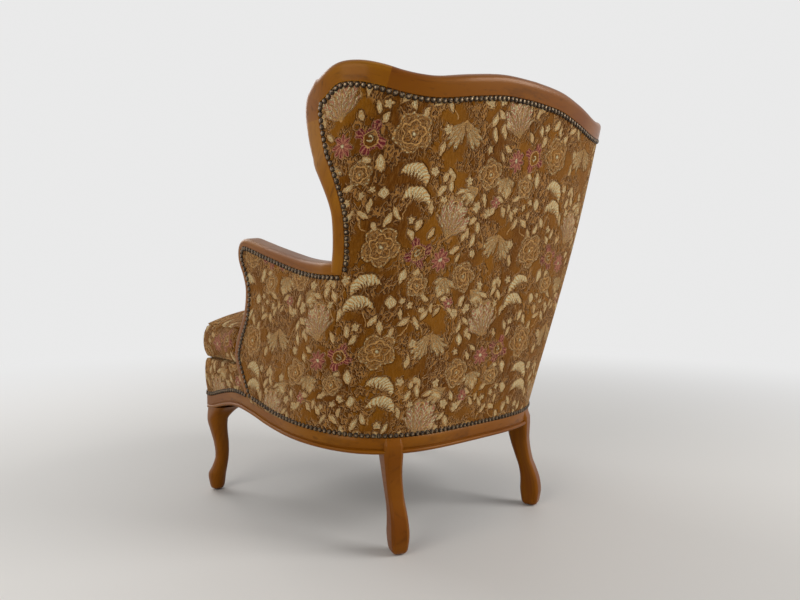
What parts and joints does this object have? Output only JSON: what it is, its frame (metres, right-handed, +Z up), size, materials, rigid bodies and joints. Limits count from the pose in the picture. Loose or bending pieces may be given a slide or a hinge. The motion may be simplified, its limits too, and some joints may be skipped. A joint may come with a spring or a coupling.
{
  "type": "bergere chair",
  "caption": "Winged barrel-back bergere armchair with carved show-wood frame, cabriole and sabre legs, close nailing and a loose T-shaped seat cushion.",
  "frame": {"origin": "on the floor, under the middle of the chair's bounding box", "axes": "+X to the sitter's left, -Y to the front of the chair, +Z up"},
  "size_m": [0.7822, 0.867, 0.9476],
  "materials": {
    "show_wood": "amber-brown lacquer, glossy",
    "cut_velvet": "sculpted floral cut velvet, golden brown with cream, green and plum",
    "antique_bronze": "antique bronze, semi-gloss",
    "frame_wood": "bare sawn hardwood",
    "steel": "plain",
    "burlap": "coarse woven",
    "black_cloth": "thin woven",
    "glide_plastic": "dark brown"
  },
  "bodies": {
    "chair": {"front_leg_left": "show_wood", "front_leg_right": "show_wood", "rear_leg_and_post_left": "show_wood", "rear_leg_and_post_right": "show_wood", "front_glide_left": "glide_plastic", "front_glide_right": "glide_plastic", "rear_glide_left": "glide_plastic", "rear_glide_right": "glide_plastic", "front_corner_bolt_left": "steel", "front_corner_bolt_right": "steel", "rear_corner_bolt_left": "steel", "rear_corner_bolt_right": "steel", "front_rail": "show_wood", "side_rail_left": "show_wood", "side_rail_right": "show_wood", "back_rail": "show_wood", "front_corner_block_left": "frame_wood", "front_corner_block_right": "frame_wood", "rear_corner_block_left": "frame_wood", "rear_corner_block_right": "frame_wood", "crest_rail": "show_wood", "wing_rail_left": "show_wood", "wing_rail_right": "show_wood", "wing_post_left": "show_wood", "wing_post_right": "show_wood", "arm_rail_left": "show_wood", "arm_rail_right": "show_wood", "arm_stump_left": "show_wood", "arm_stump_right": "show_wood", "lower_back_stretcher": "frame_wood", "arm_stretcher_left": "frame_wood", "arm_stretcher_right": "frame_wood", "arm_link_left": "frame_wood", "arm_link_right": "frame_wood", "seat_spring_1": "steel", "seat_spring_2": "steel", "seat_spring_3": "steel", "seat_spring_4": "steel", "rear_spring_strip": "steel", "front_spring_strip": "steel", "spring_burlap": "burlap", "seat_deck": "cut_velvet", "dust_cover": "black_cloth", "seat_front_border": "cut_velvet", "outside_cover": "cut_velvet", "inside_back_pad": "cut_velvet", "inside_wing_pad_left": "cut_velvet", "inside_wing_pad_right": "cut_velvet", "inside_arm_pad_left": "cut_velvet", "inside_arm_pad_right": "cut_velvet", "crest_nail_trim": "antique_bronze", "arm_nail_trim_left": "antique_bronze", "arm_nail_trim_right": "antique_bronze", "back_nail_trim": "antique_bronze", "side_nail_trim_left": "antique_bronze", "side_nail_trim_right": "antique_bronze", "front_nail_trim": "antique_bronze"},
    "cushion": {"seat_cushion": "cut_velvet"}
  },
  "joints": [
    {"name": "cushion_lift", "type": "slide", "parent": "chair", "child": "cushion", "axis": [0, 0, 1], "range_m": [0, 0.62]}
  ]
}
